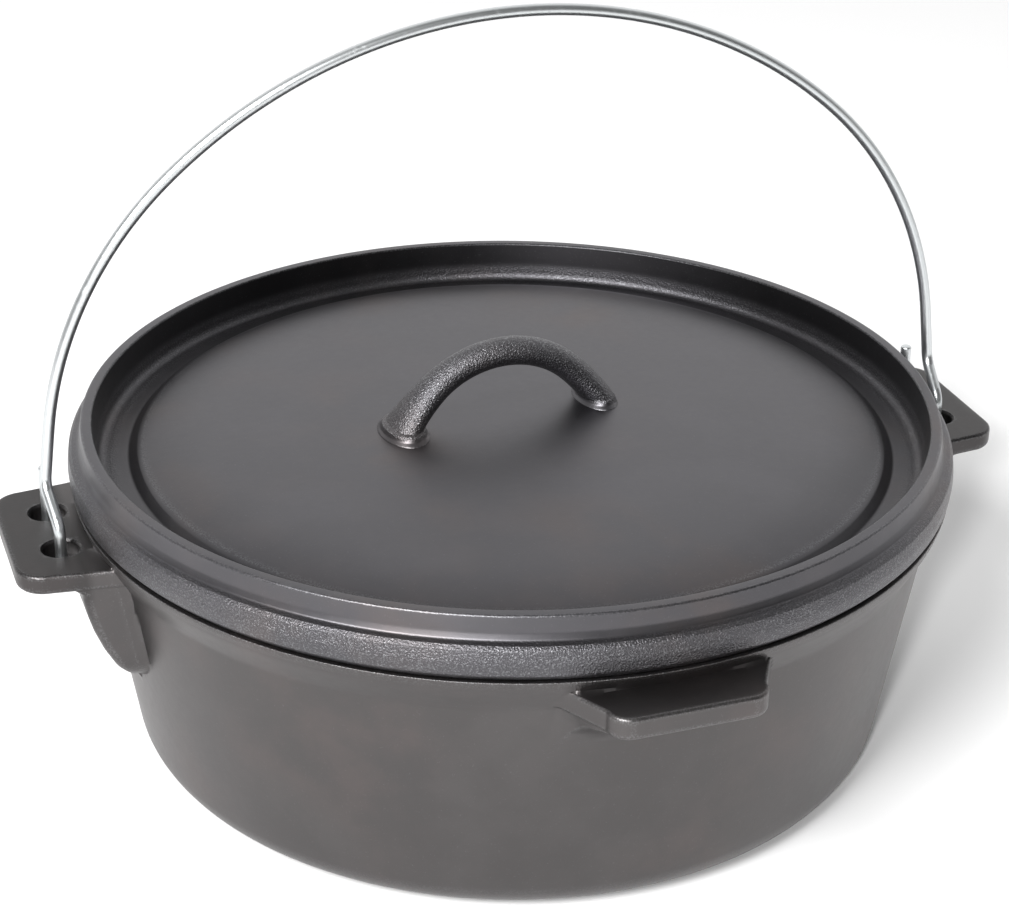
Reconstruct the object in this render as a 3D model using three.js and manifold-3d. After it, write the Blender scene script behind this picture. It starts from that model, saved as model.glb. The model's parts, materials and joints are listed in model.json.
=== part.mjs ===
// Cast iron dutch oven: a pot casting, a flanged lid casting and a steel wire bail.
// Millimetres, +Z up. The origin is the centre of the pot's flat base.
// +X runs along the ears and the lid's handle, and the tipping tabs are on -Y and +Y.
import * as THREE from 'three';
import Module from 'manifold-3d';
import { mergeVertices } from 'three/addons/utils/BufferGeometryUtils.js';

const wasm = await Module();
wasm.setup();

// ---- driving sizes ----
const POT_HEIGHT = 100;
const RIM_RADIUS = 154.4;
const RIM_OVERHANG = 4;
const RIM_BAND = 13.5;
const RIM_EDGE_ROUND = 1.4;
const MOUTH_CHAMFER = 0.9;
const WALL_TAPER = 0.159;
const WALL = 4.7;
const FLOOR = 5;
const BASE_CORNER = 13;
const FLOOR_CORNER = 9;

const EAR_DROP = 4;
const EAR_THICKNESS = 7;
const EAR_REACH = 25.4;
const EAR_TIP_HALF_WIDTH = 30.5;
const EAR_ROOT_HALF_WIDTH = 33.5;
const EAR_CORNER = 10;
const GUSSET_DEPTH = 39;
const GUSSET_CORNER = 13;
const GUSSET_HALF_WIDTH = 33;
const GUSSET_SETBACK = 3.6;
const GUSSET_RUNOUT = 4;
const LOBE_SUNK = 2;

const HOLE_DIAMETER = 12;
const HOLE_SPACING = 26.6;
const HOLE_INSET = 16.8;
const HOLE_BELOW_EAR = 12;

const TAB_DROP = 4.5;
const TAB_THICKNESS = 8;
const TAB_REACH = 14.8;
const TAB_TIP_HALF_WIDTH = 22.5;
const TAB_ROOT_HALF_WIDTH = 30.5;
const TAB_CORNER = 7;
const TAB_FILLET_DEPTH = 18;

const LID_HEIGHT = 20.8;
const LID_WALL = 4.2;
const LID_PLATE = 4.6;
const FLANGE_OVERHANG = 0.9;
const FLANGE_HEIGHT = 12.2;
const FLANGE_FOOT = 3.2;
const FLANGE_FOOT_ROUND = 2.2;
const LEDGE_WIDTH = 5.2;
const LEDGE_ROUND = 1.4;
const LID_RIM_ROUND = 1.5;
const LID_RIM_INNER_ROUND = 1.2;
const DISH_DEPTH = 14;
const DISH_FILLET = 4;
const CHANNEL_WIDTH = 13;
const CHANNEL_STEP = 2.5;
const DOME_RISE = 8.8;
const LIP_HEIGHT = 3.6;
const LIP_THICKNESS = 4;
const LIP_CHAMFER = 0.8;
const LIP_FILLET = 3;

const HANDLE_RISE = 24;
const HANDLE_CROWN_RADIUS = 38.6;
const HANDLE_CROWN_ANGLE = 43;
const HANDLE_LEG_RADIUS = 81;
const HANDLE_LEG_ANGLE = 56;
const HANDLE_WIDTH = 11.5;
const HANDLE_FOOT_WIDTH = 21;
const HANDLE_THICKNESS = 10;
const HANDLE_OFFSET = 4;
const HANDLE_TURN = 5;
const PAD_HEIGHT = 3.4;
const PAD_MARGIN = 1.2;
const PAD_HALF_LENGTH = 7.6;
const PAD_INSET = 1.6;

const WIRE_DIAMETER = 4;
const HOOK_DEPTH = 13;
const HOOK_CORNER = 5;
const STUB_HEIGHT = 17.5;
const LOWER_BEND_HEIGHT = 7.5;
const UPPER_BEND_HEIGHT = 17.5;
const BEND_RADIUS = 7;
const BAIL_LEG = 20;
const BAIL_CROWN_RATIO = 1.092;
const BAIL_SHOULDER_RATIO = 0.828;
const BAIL_SHOULDER_ANGLE = 41.2;
const BAIL_LEG_ANGLE = 82.5;

// ---- clearances ----
const SEAT_GAP = 0.3;
const LIP_GAP = 1.6;

// ---- curves, as shares of the reach and of the depth or height ----
const RIM_BAND_CURVE = [[1, 1], [0.7, 0.8], [0.42, 0.5], [0.1, 0.18]];
const GUSSET_CURVE = [[0.16, 1], [0.46, 0.82], [0.66, 0.64], [0.81, 0.45], [0.92, 0.25], [0.98, 0.08]];
const TAB_CURVE = [[0, 1], [0.3, 0.45], [0.6, 0.12]];
const PAD_CURVE = [[1, 0.06], [0.936, 0.41], [0.808, 0.76], [0, 1]];
const DOME_CURVE = [
  [0, 1], [0.3, 0.95], [0.52, 0.84], [0.7, 0.68],
  [0.84, 0.51], [0.95, 0.35], [0.985, 0.24], [1, 0.02],
];

// ---- mesh fineness ----
const TURN_SEGMENTS = 80;
const HOLE_SEGMENTS = 32;
const PAD_SEGMENTS = 28;
const HANDLE_SIDES = 16;
const WIRE_SIDES = 12;
const ROUND_STEPS = 5;
const HANDLE_STEPS = 6;
const ARCH_STEPS = 10;
const BEND_STEP_ANGLE = 18;
const WELD = 1e-4;
const CUT_BEYOND = 5;

// ---- sizes that follow ----
const WALL_TOP_RADIUS = RIM_RADIUS - RIM_OVERHANG;
const EAR_TOP = POT_HEIGHT - EAR_DROP;
const EAR_TIP = RIM_RADIUS + EAR_REACH;
const HOLE_X = EAR_TIP - HOLE_INSET;
const HOLE_Y = HOLE_SPACING / 2;
const TAB_TOP = POT_HEIGHT - TAB_DROP;
const SEAT = POT_HEIGHT + SEAT_GAP;
const LID_TOP = SEAT + LID_HEIGHT;
const DISH_FLOOR = LID_TOP - DISH_DEPTH;
const DOME_TOP = DISH_FLOOR + DOME_RISE;
const FLANGE_RADIUS = RIM_RADIUS + FLANGE_OVERHANG;
const LID_RIM_RADIUS = FLANGE_RADIUS - LEDGE_WIDTH;
const DISH_RADIUS = LID_RIM_RADIUS - LID_WALL;
const BORE_RADIUS = WALL_TOP_RADIUS - WALL;

const rad = THREE.MathUtils.degToRad;
const vec2 = (x, y) => new THREE.Vector2(x, y);
const vec3 = (x, y, z) => new THREE.Vector3(x, y, z);
const outerWall = (z) => WALL_TOP_RADIUS - WALL_TAPER * (POT_HEIGHT - z);

// ---- solids from geometries ----
function signedVolume(position, index) {
  const a = vec3(0, 0, 0);
  const b = vec3(0, 0, 0);
  const c = vec3(0, 0, 0);
  let sum = 0;
  for (let i = 0; i < index.length; i += 3) {
    a.fromBufferAttribute(position, index[i]);
    b.fromBufferAttribute(position, index[i + 1]);
    c.fromBufferAttribute(position, index[i + 2]);
    sum += a.dot(b.cross(c));
  }
  return sum / 6;
}

function solid(geometry) {
  geometry.deleteAttribute('uv');
  geometry.deleteAttribute('normal');
  const merged = mergeVertices(geometry, WELD);
  const source = Array.from(merged.index.array);
  const kept = [];
  for (let i = 0; i < source.length; i += 3) {
    const [p, q, r] = source.slice(i, i + 3);
    if (p !== q && q !== r && r !== p) {
      kept.push(p, q, r);
    }
  }
  if (signedVolume(merged.attributes.position, kept) < 0) {
    kept.reverse();
  }
  const mesh = new wasm.Mesh({
    numProp: 3,
    vertProperties: new Float32Array(merged.attributes.position.array),
    triVerts: new Uint32Array(kept),
  });
  return new wasm.Manifold(mesh);
}

function unite(parts) {
  return parts.reduce((sum, part) => sum.add(part));
}

function toMesh(body, name, look) {
  const source = body.getMesh();
  const geometry = new THREE.BufferGeometry();
  const position = new THREE.BufferAttribute(new Float32Array(source.vertProperties), 3);
  geometry.setAttribute('position', position);
  geometry.setIndex(Array.from(source.triVerts));
  geometry.computeVertexNormals();
  const mesh = new THREE.Mesh(geometry, new THREE.MeshStandardMaterial(look));
  mesh.name = name;
  return mesh;
}

// A turned body. The profile lists [radius, height] and starts and ends on the axis or closes.
function turned(profile, segments = TURN_SEGMENTS) {
  const points = profile.map(([r, z]) => vec2(r, z));
  const geometry = new THREE.LatheGeometry(points, segments);
  geometry.rotateX(Math.PI / 2);
  return geometry;
}

// Points of an arc in a profile, from one angle to another in degrees.
function arc(cx, cy, radius, from, to, steps = ROUND_STEPS) {
  const points = [];
  for (let i = 0; i <= steps; i += 1) {
    const angle = rad(from + (to - from) * i / steps);
    points.push([cx + radius * Math.cos(angle), cy + radius * Math.sin(angle)]);
  }
  return points;
}

function shapeOf(points) {
  return new THREE.Shape(points.map(([x, y]) => vec2(x, y)));
}

// A flat outline in X and Y, standing from one height to another.
function plate(points, low, high) {
  const geometry = new THREE.ExtrudeGeometry(shapeOf(points), {
    depth: high - low,
    bevelEnabled: false,
  });
  geometry.translate(0, 0, low);
  return geometry;
}

// An outline in X and Z, reaching half a width to each side of the XZ plane.
function webAcrossY(points, halfWidth) {
  const geometry = plate(points, -halfWidth, halfWidth);
  geometry.rotateX(Math.PI / 2);
  return geometry;
}

// An outline in Y and Z, reaching from one X to another.
function webAcrossX(points, low, high) {
  const geometry = plate(points, low, high);
  geometry.rotateZ(Math.PI / 2);
  geometry.rotateY(Math.PI / 2);
  return geometry;
}

// ---- pot casting ----
function potOutline() {
  const slope = THREE.MathUtils.radToDeg(Math.atan(WALL_TAPER));
  const cornerX = outerWall(BASE_CORNER) - BASE_CORNER / Math.cos(rad(slope));
  const bandWidth = RIM_RADIUS - outerWall(POT_HEIGHT - RIM_BAND);
  const band = RIM_BAND_CURVE.map(([inward, down]) => [
    RIM_RADIUS - inward * bandWidth,
    POT_HEIGHT - down * RIM_BAND,
  ]);
  const edge = [RIM_RADIUS - RIM_EDGE_ROUND, POT_HEIGHT - RIM_EDGE_ROUND];
  return [
    [0, 0],
    ...arc(cornerX, BASE_CORNER, BASE_CORNER, -90, -slope),
    ...band,
    ...arc(...edge, RIM_EDGE_ROUND, 0, 90, 2),
  ];
}

function cavityOutline() {
  const slope = THREE.MathUtils.radToDeg(Math.atan(WALL_TAPER));
  const cornerZ = FLOOR + FLOOR_CORNER;
  const innerWall = outerWall(cornerZ) - WALL;
  const cornerX = innerWall - FLOOR_CORNER / Math.cos(rad(slope));
  return [
    [0, FLOOR],
    ...arc(cornerX, cornerZ, FLOOR_CORNER, -90, -slope),
    [BORE_RADIUS - WALL_TAPER * MOUTH_CHAMFER, POT_HEIGHT - MOUTH_CHAMFER],
    [BORE_RADIUS + MOUTH_CHAMFER, POT_HEIGHT],
  ];
}

function cavity() {
  const outline = cavityOutline();
  const mouth = outline[outline.length - 1][0];
  const beyond = POT_HEIGHT + CUT_BEYOND;
  return solid(turned([...outline, [mouth, beyond], [0, beyond]]));
}

// Plan of an ear or a tab: it leaves the wall at the root and rounds off at the tip.
function lobePlan(root, tip, rootHalf, tipHalf, corner) {
  const side = THREE.MathUtils.radToDeg(Math.atan2(rootHalf - tipHalf, tip - root));
  const upper = arc(tip - corner, tipHalf - corner, corner, 0, 90 - side);
  const lower = arc(tip - corner, corner - tipHalf, corner, side - 90, 0);
  return [[root, -rootHalf], ...lower, ...upper, [root, rootHalf]];
}

function gussetSide() {
  const root = outerWall(EAR_TOP - GUSSET_DEPTH) - WALL / 2;
  const out = HOLE_X - GUSSET_SETBACK;
  const high = EAR_TOP - EAR_THICKNESS;
  const curve = GUSSET_CURVE.map(([along, down]) => [
    root + along * (out - root),
    high - down * GUSSET_DEPTH,
  ]);
  return [
    [root, high - GUSSET_DEPTH - GUSSET_RUNOUT],
    ...curve,
    [out, high + EAR_THICKNESS / 2],
    [root, high + EAR_THICKNESS / 2],
  ];
}

function gussetFront() {
  const half = GUSSET_HALF_WIDTH;
  const low = EAR_TOP - EAR_THICKNESS - GUSSET_DEPTH;
  const high = EAR_TOP - EAR_THICKNESS / 2;
  const inner = half - GUSSET_CORNER;
  return [
    ...arc(inner, low + GUSSET_CORNER, GUSSET_CORNER, -90, 0),
    [half, high],
    [-half, high],
    ...arc(-inner, low + GUSSET_CORNER, GUSSET_CORNER, 180, 270),
  ];
}

function bailHole(y) {
  const radius = HOLE_DIAMETER / 2;
  const low = EAR_TOP - EAR_THICKNESS - HOLE_BELOW_EAR;
  const high = EAR_TOP + CUT_BEYOND;
  const geometry = turned([[0, low], [radius, low], [radius, high], [0, high]], HOLE_SEGMENTS);
  geometry.translate(HOLE_X, y, 0);
  return solid(geometry);
}

function ear() {
  const root = BORE_RADIUS - LOBE_SUNK;
  const plan = lobePlan(root, EAR_TIP, EAR_ROOT_HALF_WIDTH, EAR_TIP_HALF_WIDTH, EAR_CORNER);
  const slab = solid(plate(plan, EAR_TOP - EAR_THICKNESS, EAR_TOP));
  const web = solid(webAcrossY(gussetSide(), GUSSET_HALF_WIDTH));
  const shield = solid(webAcrossX(gussetFront(), 0, EAR_TIP));
  const body = slab.add(web.intersect(shield));
  return body.subtract(bailHole(HOLE_Y)).subtract(bailHole(-HOLE_Y));
}

function tab() {
  const root = BORE_RADIUS - LOBE_SUNK;
  const tip = RIM_RADIUS + TAB_REACH;
  const plan = lobePlan(root, tip, TAB_ROOT_HALF_WIDTH, TAB_TIP_HALF_WIDTH, TAB_CORNER);
  const under = TAB_TOP - TAB_THICKNESS;
  const low = under - TAB_FILLET_DEPTH;
  const wall = outerWall(low) - WALL / 2;
  const curve = TAB_CURVE.map(([along, down]) => [
    wall + along * (tip - wall),
    under - down * TAB_FILLET_DEPTH,
  ]);
  const side = [[root - WALL, TAB_TOP], [root - WALL, low], ...curve, [tip, under], [tip, TAB_TOP]];
  const column = solid(plate(plan, low, TAB_TOP));
  return column.intersect(solid(webAcrossY(side, TAB_ROOT_HALF_WIDTH + CUT_BEYOND)));
}

function pot() {
  const outline = potOutline();
  const shell = solid(turned([...outline, [0, POT_HEIGHT]]));
  const lobes = [
    ear(),
    ear().rotate([0, 0, 180]),
    tab().rotate([0, 0, 90]),
    tab().rotate([0, 0, -90]),
  ];
  return unite([shell, ...lobes]).subtract(cavity());
}

// ---- lid casting ----
// Top of the lid inside its raised rim: a dome, a low step and the channel round it.
function dishOutline() {
  const step = DISH_RADIUS - CHANNEL_WIDTH;
  const dome = DOME_CURVE.map(([out, up]) => [out * step, DISH_FLOOR + up * DOME_RISE]);
  return [...dome, [step + CHANNEL_STEP, DISH_FLOOR]];
}

// The same dome one plate's thickness lower, and the locating lip that hangs inside the pot.
function lidUnderside() {
  const under = dishOutline().slice(0, -2).map(([r, z]) => [r, z - LID_PLATE]);
  const outer = BORE_RADIUS - LIP_GAP;
  const inner = outer - LIP_THICKNESS;
  const low = SEAT - LIP_HEIGHT;
  return [
    ...under,
    [inner - LIP_FILLET, DISH_FLOOR - LID_PLATE],
    [inner, SEAT - LIP_CHAMFER / 2],
    [inner + LIP_CHAMFER, low],
    [outer - LIP_CHAMFER, low],
    [outer, SEAT],
  ];
}

// Outside of the lid from the seat up the flange, over the ledge and the raised rim.
function lidOutside() {
  const ledge = SEAT + FLANGE_HEIGHT;
  return [
    [FLANGE_RADIUS - FLANGE_FOOT_ROUND, SEAT],
    [FLANGE_RADIUS - 0.3 * FLANGE_FOOT_ROUND, SEAT + 0.3 * FLANGE_FOOT],
    [FLANGE_RADIUS, SEAT + FLANGE_FOOT],
    [FLANGE_RADIUS, ledge - 3 * LEDGE_ROUND],
    [FLANGE_RADIUS - 0.36 * LEDGE_ROUND, ledge - LEDGE_ROUND],
    [FLANGE_RADIUS - LEDGE_ROUND, ledge],
    [LID_RIM_RADIUS + LID_RIM_ROUND, ledge + 0.3 * LEDGE_ROUND],
    ...arc(LID_RIM_RADIUS - LID_RIM_ROUND, LID_TOP - LID_RIM_ROUND, LID_RIM_ROUND, 0, 90, 2),
  ];
}

function lidOutline() {
  const foot = DISH_RADIUS - LID_RIM_INNER_ROUND - DISH_FILLET;
  return [
    ...lidUnderside(),
    ...lidOutside(),
    [DISH_RADIUS + LID_RIM_INNER_ROUND, LID_TOP],
    [DISH_RADIUS, LID_TOP - LID_RIM_INNER_ROUND],
    ...arc(foot, DISH_FLOOR + DISH_FILLET, DISH_FILLET, 0, -90),
    ...dishOutline().reverse(),
  ];
}

// Centre line of the handle: a crown arc, a flatter arc down each leg, ends sunk in the plate.
function handlePath() {
  const crown = rad(HANDLE_CROWN_ANGLE);
  const leg = rad(HANDLE_LEG_ANGLE);
  const top = vec3(0, 0, DOME_TOP + HANDLE_RISE);
  const upper = arcDown(top, HANDLE_CROWN_RADIUS, 0, crown, HANDLE_STEPS);
  const lower = arcDown(upper[HANDLE_STEPS], HANDLE_LEG_RADIUS, crown, leg, HANDLE_STEPS);
  const right = [...upper, ...lower.slice(1)];
  const end = right[right.length - 1];
  const sunk = DOME_TOP - LID_PLATE / 2;
  const run = (end.z - sunk) / Math.tan(leg);
  right.push(vec3(end.x + run, 0, sunk));
  const left = right.slice(1).reverse().map((p) => vec3(-p.x, 0, p.z));
  return [...left, ...right];
}

function handleFoot(x) {
  const wide = HANDLE_FOOT_WIDTH / 2 + PAD_MARGIN;
  const base = DOME_TOP - LID_PLATE / 2;
  const top = PAD_CURVE.map(([out, up]) => [out * wide, DOME_TOP + up * PAD_HEIGHT]);
  const geometry = turned([[0, base], [wide, base], ...top], PAD_SEGMENTS);
  geometry.scale(PAD_HALF_LENGTH / wide, 1, 1);
  geometry.translate(x, 0, 0);
  return solid(geometry);
}

// The strap is narrow at the crown and widens towards its feet.
function widenLegs(geometry) {
  const top = DOME_TOP + HANDLE_RISE;
  const position = geometry.attributes.position;
  for (let i = 0; i < position.count; i += 1) {
    const fraction = Math.min(1, Math.max(0, (top - position.getZ(i)) / HANDLE_RISE));
    const gain = 1 + (HANDLE_FOOT_WIDTH / HANDLE_WIDTH - 1) * fraction * fraction;
    position.setY(i, position.getY(i) * gain);
  }
  return geometry;
}

function handle() {
  const path = handlePath();
  const section = arc(0, 0, 1, 0, 360 - 360 / HANDLE_SIDES, HANDLE_SIDES - 1);
  const points = section.map(([x, y]) => [x * HANDLE_WIDTH / 2, y * HANDLE_THICKNESS / 2]);
  const strap = sweep(points, path);
  const reach = path[path.length - 1].x - PAD_INSET;
  const body = unite([solid(widenLegs(strap)), handleFoot(reach), handleFoot(-reach)]);
  return body.rotate([0, 0, HANDLE_TURN]).translate([-HANDLE_OFFSET, 0, 0]);
}

function lid() {
  return solid(turned(lidOutline())).add(handle());
}

// ---- swept bodies ----
// A curve that puts one section at each listed point, so short bends keep their shape.
class ListedPath extends THREE.Curve {
  constructor(points) {
    super();
    this.points = points;
  }

  getUtoTmapping(u) {
    return u;
  }

  getPoint(t, target = new THREE.Vector3()) {
    const place = Math.min(Math.max(t, 0), 1) * (this.points.length - 1);
    const i = Math.min(Math.floor(place), this.points.length - 2);
    return target.lerpVectors(this.points[i], this.points[i + 1], place - i);
  }

  getTangent(t, target = new THREE.Vector3()) {
    const i = Math.round(Math.min(Math.max(t, 0), 1) * (this.points.length - 1));
    const before = this.points[Math.max(i - 1, 0)];
    const here = this.points[i];
    const after = this.points[Math.min(i + 1, this.points.length - 1)];
    const incoming = here.clone().sub(before).normalize();
    const outgoing = after.clone().sub(here).normalize();
    return target.copy(incoming.add(outgoing)).normalize();
  }
}

function sweep(section, points) {
  return new THREE.ExtrudeGeometry(shapeOf(section), {
    steps: points.length - 1,
    extrudePath: new ListedPath(points),
    bevelEnabled: false,
  });
}

// An arc in X and Z that starts at a point and steepens from one angle to another.
function arcDown(start, radius, first, last, steps) {
  const points = [];
  for (let i = 0; i <= steps; i += 1) {
    const angle = first + (last - first) * i / steps;
    const x = start.x + radius * (Math.sin(angle) - Math.sin(first));
    const z = start.z - radius * (Math.cos(first) - Math.cos(angle));
    points.push(vec3(x, 0, z));
  }
  return points;
}

// The rounded corner at b on the way from a to c.
function rounded(a, b, c, radius) {
  const into = b.clone().sub(a).normalize();
  const out = c.clone().sub(b).normalize();
  const turn = into.angleTo(out);
  const reach = radius * Math.tan(turn / 2);
  const start = b.clone().addScaledVector(into, -reach);
  const inward = out.clone().addScaledVector(into, -out.dot(into)).normalize();
  const centre = start.clone().addScaledVector(inward, radius);
  const steps = Math.max(3, Math.ceil(turn / rad(BEND_STEP_ANGLE)));
  const points = [];
  for (let i = 0; i <= steps; i += 1) {
    const angle = turn * i / steps;
    const p = centre.clone().addScaledVector(inward, -radius * Math.cos(angle));
    points.push(p.addScaledVector(into, radius * Math.sin(angle)));
  }
  return points;
}

// ---- wire bail ----
// Crown and shoulder arcs of the right half, from the top down to the straight leg.
function archHalf() {
  const first = rad(BAIL_SHOULDER_ANGLE);
  const last = rad(BAIL_LEG_ANGLE);
  const crown = arcDown(vec3(0, 0, 0), BAIL_CROWN_RATIO * HOLE_X, 0, first, ARCH_STEPS);
  const start = crown[ARCH_STEPS];
  const shoulder = arcDown(start, BAIL_SHOULDER_RATIO * HOLE_X, first, last, ARCH_STEPS);
  const leg = vec3(Math.cos(last), 0, -Math.sin(last)).multiplyScalar(BAIL_LEG);
  const end = shoulder[ARCH_STEPS].clone().add(leg);
  return [...crown, ...shoulder.slice(1), end];
}

// From the upper bend down through one hole, under the ear and up through the other.
function hookHalf(bend, legStart) {
  const low = EAR_TOP - HOOK_DEPTH;
  const lower = vec3(HOLE_X, -HOLE_Y, EAR_TOP + LOWER_BEND_HEIGHT);
  const front = vec3(HOLE_X, -HOLE_Y, low);
  const back = vec3(HOLE_X, HOLE_Y, low);
  const tip = vec3(HOLE_X, HOLE_Y, EAR_TOP + STUB_HEIGHT);
  return [
    ...rounded(legStart, bend, lower, BEND_RADIUS),
    ...rounded(bend, lower, front, BEND_RADIUS),
    ...rounded(lower, front, back, HOOK_CORNER),
    ...rounded(front, back, tip, HOOK_CORNER),
    tip,
  ];
}

function bailPath() {
  const arch = archHalf();
  const bendAt = arch[arch.length - 1];
  const lift = EAR_TOP + UPPER_BEND_HEIGHT - bendAt.z;
  arch.forEach((p) => { p.z += lift; });
  const legs = arch.slice(0, -1);
  const half = [...legs, ...hookHalf(bendAt, legs[legs.length - 1])];
  const mirrored = half.slice(1).reverse().map((p) => vec3(-p.x, p.y, p.z));
  return [...mirrored, ...half];
}

function bail() {
  const section = arc(0, 0, WIRE_DIAMETER / 2, 0, 360 - 360 / WIRE_SIDES, WIRE_SIDES - 1);
  return solid(sweep(section, bailPath()));
}

// ---- assembly ----
const castIron = { color: 0x4a484b, roughness: 0.62, metalness: 0.55 };
const zincedSteel = { color: 0xa9adb0, roughness: 0.32, metalness: 1 };

const oven = new THREE.Group();
oven.name = 'cast_iron_dutch_oven';
oven.add(toMesh(pot(), 'pot', castIron));
oven.add(toMesh(lid(), 'lid', castIron));
oven.add(toMesh(bail(), 'bail', zincedSteel));

export default oven;
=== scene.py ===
"""Looks of a cast iron dutch oven: the cast pot, the flanged lid, the wire bail and their studio."""
import json
import math

import bmesh
import bpy
import numpy as np
from mathutils import Matrix, Vector

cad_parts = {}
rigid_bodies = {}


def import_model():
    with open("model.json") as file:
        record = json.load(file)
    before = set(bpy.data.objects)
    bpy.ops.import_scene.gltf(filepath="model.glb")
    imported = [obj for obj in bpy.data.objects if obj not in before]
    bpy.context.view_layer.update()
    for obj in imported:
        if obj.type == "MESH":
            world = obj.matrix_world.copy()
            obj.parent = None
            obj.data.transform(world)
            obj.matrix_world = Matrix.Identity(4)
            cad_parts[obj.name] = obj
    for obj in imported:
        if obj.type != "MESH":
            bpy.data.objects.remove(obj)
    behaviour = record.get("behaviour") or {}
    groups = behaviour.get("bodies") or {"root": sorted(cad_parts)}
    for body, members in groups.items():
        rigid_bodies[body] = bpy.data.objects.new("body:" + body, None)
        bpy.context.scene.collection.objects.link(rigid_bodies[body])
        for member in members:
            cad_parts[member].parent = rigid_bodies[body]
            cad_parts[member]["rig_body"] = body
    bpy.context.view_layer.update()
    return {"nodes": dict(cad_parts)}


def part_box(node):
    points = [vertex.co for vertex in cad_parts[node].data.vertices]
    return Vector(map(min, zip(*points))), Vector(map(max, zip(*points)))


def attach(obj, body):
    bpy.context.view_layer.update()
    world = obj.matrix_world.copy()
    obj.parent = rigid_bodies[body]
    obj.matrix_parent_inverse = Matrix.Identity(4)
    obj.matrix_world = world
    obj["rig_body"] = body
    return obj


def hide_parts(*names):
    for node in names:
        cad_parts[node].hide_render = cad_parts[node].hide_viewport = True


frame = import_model()
POT_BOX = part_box("pot")
LID_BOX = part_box("lid")
BAIL_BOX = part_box("bail")

bl_info = {
    "name": "Cast Iron Dutch Oven",
    "version": (1, 0, 0),
    "blender": (4, 5, 0),
    "location": "View3D > Sidebar > Dutch Oven",
    "description": "Builds a cast iron dutch oven with its lid, wire bail and studio",
    "category": "Object",
}

MM = 0.001

# where the iron's coarse grain and its darkening, mostly painted shade, change, as distances from the middle
# and heights; one pair is in square metres
EAR_REACH_SQUARED = (0.0240, 0.0252)
EAR_TOP = (95.3 * MM, 95.9 * MM)
RIM_TOP = (96.5 * MM, 98.5 * MM)
RIM_INSIDE = (140 * MM, 150 * MM)
FLANGE_EDGE = (151.5 * MM, 152.5 * MM)
HANDLE_LOW = (117.0 * MM, 118.5 * MM)
HANDLE_REACH = (58 * MM, 60 * MM)
CORNER_REACH = (137 * MM, 141 * MM)
CORNER_TOP = (110 * MM, 113 * MM)
SHOULDER_REACH = (104 * MM, 131 * MM)
SHOULDER_END = (131 * MM, 133 * MM)
CHANNEL_REACH = (130 * MM, 133 * MM)
CHANNEL_END = (146.2 * MM, 147 * MM)
WALL_FOOT = (110 * MM, 114 * MM)

# fixed shapes of the castings
EAR_FOOT_ROUND = 13 * MM
TAB_SWEEP = 16 * MM
ROOT_SPREAD = 12 * MM
SIDE_FLARE = 0.05 * MM
HOLE_FLARE = 0.9 * MM
INNER_CORNER = 9 * MM
CHANNEL_WIDTH = 13 * MM
LIP_RADIUS = 144.1 * MM
RIGHT_PAD_MARGIN = 1 * MM
LEFT_PAD_MARGIN = 3 * MM
PAD_BACK = 2.2 * MM

# how the lid's handle stands, with its turn in degrees
HANDLE_OFFSET = -4 * MM
HANDLE_TURN = 5
HANDLE_CROWN_ARC = 38.6 * MM
HANDLE_LEG_ARC = 81 * MM

# how finely the bodies are divided, with steps and angles round the pot in degrees
LID_SEGMENTS = 480
HANDLE_SEGMENTS = 40
WIRE_SEGMENTS = 24
FINE_STEP = 0.09
MIDDLE_STEP = 0.5
WIDE_STEP = 0.75
EAR_SIDES = (8.4, 13.4)
TAB_SIDES = (7.2, 12.2)
LOBE_SPAN = 18.0

# how the studio stands
KEY_PLACE = (-1.38, -2.25, 1.44)
KEY_SIZE = 0.22
SIDE_PLACE = (-2.12, -1.68, 2.32)
SIDE_SIZE = 1.5
LIGHT_AIM = (0.0, 0.0, 0.08)
SKY_BACK = (0.33, 0.94, 0.0)
SKY_FADE = (-0.15, 0.6)
FLOOR_HALF = 6.0
FLOOR_DROP = 0.2 * MM
SENSOR_WIDTH = 36.0
CLIP_END = 50.0


# ---- sizes and colours a user would change ----
def length(name, description, value):
    return bpy.props.FloatProperty(
        name=name, description=description, default=value, unit="LENGTH", min=0.0, precision=4
    )


def colour(name, description, value):
    return bpy.props.FloatVectorProperty(
        name=name, description=description, default=value, subtype="COLOR", min=0.0, max=1.0
    )


def share(name, description, value):
    return bpy.props.FloatProperty(
        name=name, description=description, default=value, subtype="FACTOR", min=0.0, max=1.0
    )


def angle(name, description, degrees):
    return bpy.props.FloatProperty(
        name=name, description=description, default=math.radians(degrees), subtype="ANGLE"
    )


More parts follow.
